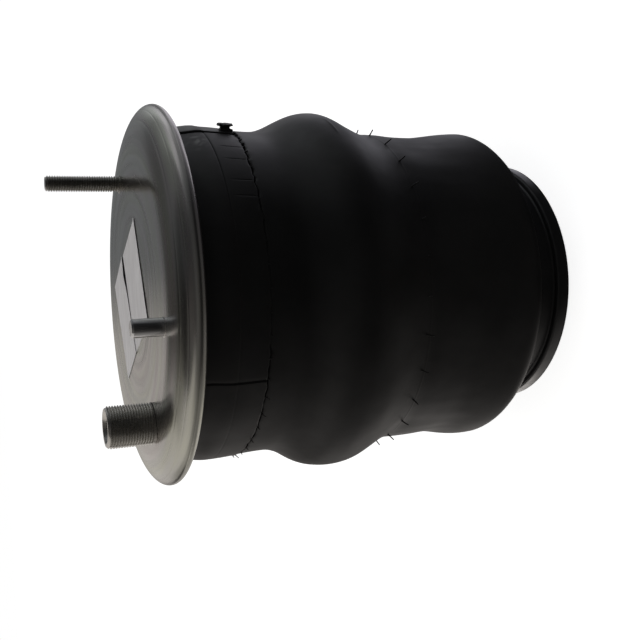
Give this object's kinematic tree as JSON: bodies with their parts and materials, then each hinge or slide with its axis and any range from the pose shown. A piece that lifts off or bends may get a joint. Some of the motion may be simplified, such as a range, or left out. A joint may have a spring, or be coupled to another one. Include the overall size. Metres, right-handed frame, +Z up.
{
  "type": "air suspension spring",
  "caption": "Rolling-lobe air spring: crimped plate with hollow inlet stud, threaded stud and locating pin, rubber sleeve rolled over a ribbed moulded piston.",
  "frame": {"origin": "centre of the piston's mounting face, the lowest plane of the object", "axes": "+Z up the spring's axis, from the piston to the bead plate; +X 24.5 degrees short of the mounting stud"},
  "size_m": [0.226, 0.226, 0.301],
  "materials": {
    "zinc_plate": "zinc plated and clear passivated pressing, fine concentric marks",
    "zinc_fastener": "zinc plated fastener",
    "bare_steel": "plain turned steel",
    "bead_wire": "bronze coated bead wire in rubber",
    "bellows_rubber": "matte moulded rubber over cord",
    "bumper_rubber": "matte moulded rubber",
    "seal_rubber": "smooth rubber",
    "piston_moulding": "glass filled moulding, satin black"
  },
  "bodies": {
    "piston_body": {"lower_bead_wire": "bead_wire", "piston": "piston_moulding", "hub_bush": "bare_steel", "mounting_inserts": "bare_steel", "end_closure": "zinc_plate", "piston_bolt": "zinc_fastener", "bolt_seal": "seal_rubber", "piston_washer": "zinc_fastener", "lock_nut": "zinc_fastener", "bumper_seat": "zinc_plate", "bumper_nut": "zinc_fastener", "bumper": "bumper_rubber", "bumper_screw": "zinc_fastener", "bumper_washer": "zinc_fastener"},
    "fold_body": {"bellows": "bellows_rubber"},
    "plate_body": {"bead_plate": "zinc_plate", "combination_stud": "zinc_fastener", "mounting_stud": "zinc_fastener", "locating_pin": "bare_steel", "upper_bead_wire": "bead_wire"}
  },
  "joints": [
    {"name": "fold_roll", "type": "slide", "parent": "piston_body", "child": "fold_body", "axis": [0, 0, 1], "range_m": [-0.025, 0.055], "stiffness_N_per_m": 6000, "springref_m": 0.0026, "deforming": ["bellows"]},
    {"name": "plate_travel", "type": "slide", "parent": "fold_body", "child": "plate_body", "axis": [0, 0, 1], "range_m": [-0.025, 0.055], "stiffness_N_per_m": 6000, "springref_m": 0.0026, "deforming": ["bellows"]}
  ],
  "couplings": [
    {"joint": "plate_travel", "follows": "fold_roll", "ratio": 1}
  ]
}
